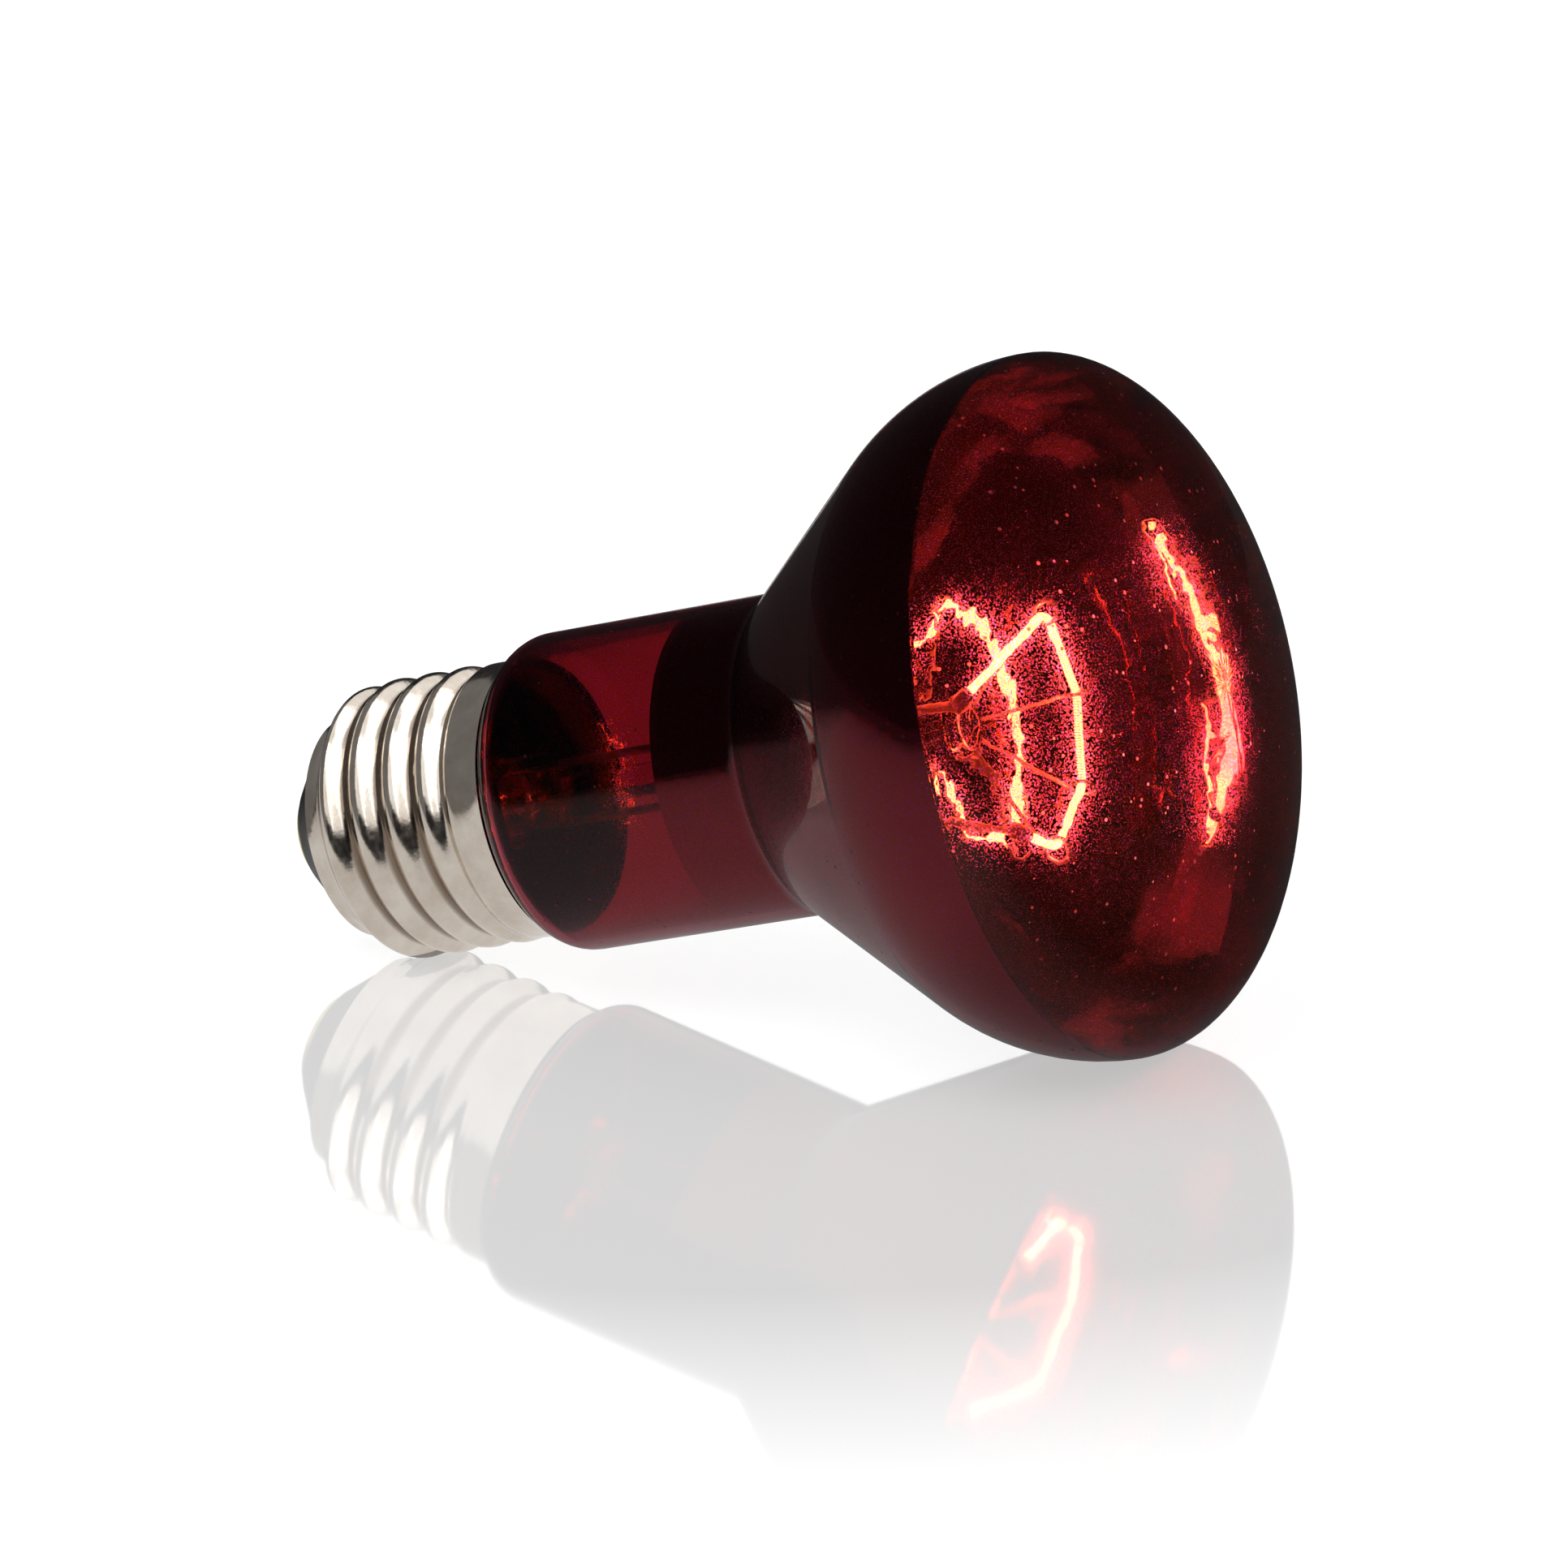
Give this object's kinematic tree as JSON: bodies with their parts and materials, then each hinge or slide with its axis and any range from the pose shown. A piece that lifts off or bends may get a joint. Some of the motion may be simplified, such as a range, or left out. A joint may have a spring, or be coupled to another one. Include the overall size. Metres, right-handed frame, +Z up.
{
  "type": "infrared heat lamp bulb",
  "caption": "Reflector heat lamp with a ruby glass bulb, mirrored bell, ring filament on support wires and a screw cap, lying on its side.",
  "frame": {"origin": "middle of the lamp's footprint, on the floor that it lies on", "axes": "+X towards the bulb's face, level, with the lamp's axis rising 15.1 degrees from it; +Y across the lamp; +Z up"},
  "size_m": [0.0956, 0.0634, 0.0622],
  "materials": {
    "ruby_glass": "polished deep ruby glass",
    "mirror_film": "vacuum-deposited mirror",
    "nickel_cap": "bright rolled nickel plate",
    "black_insulator": "black glass",
    "contact_brass": "plain",
    "solder": "dull tin",
    "cement": "matt cement",
    "clear_glass": "clear",
    "copper_wire": "drawn wire",
    "nickel_wire": "drawn wire",
    "tungsten": "glowing coil",
    "support_metal": "drawn wire"
  },
  "bodies": {
    "root": {"glass_envelope": "ruby_glass", "mirror_coating": "mirror_film", "screw_shell": "nickel_cap", "insulator": "black_insulator", "centre_contact": "contact_brass", "contact_solder": "solder", "side_solder": "solder", "basing_cement": "cement", "stem": "clear_glass", "exhaust_tube": "clear_glass", "arbor_rod": "clear_glass", "outer_lead_centre": "copper_wire", "outer_lead_side": "copper_wire", "inner_lead_upper": "nickel_wire", "inner_lead_lower": "nickel_wire", "filament": "tungsten", "support_wire_1": "support_metal", "support_wire_2": "support_metal", "support_wire_3": "support_metal", "support_wire_4": "support_metal"}
  },
  "joints": []
}
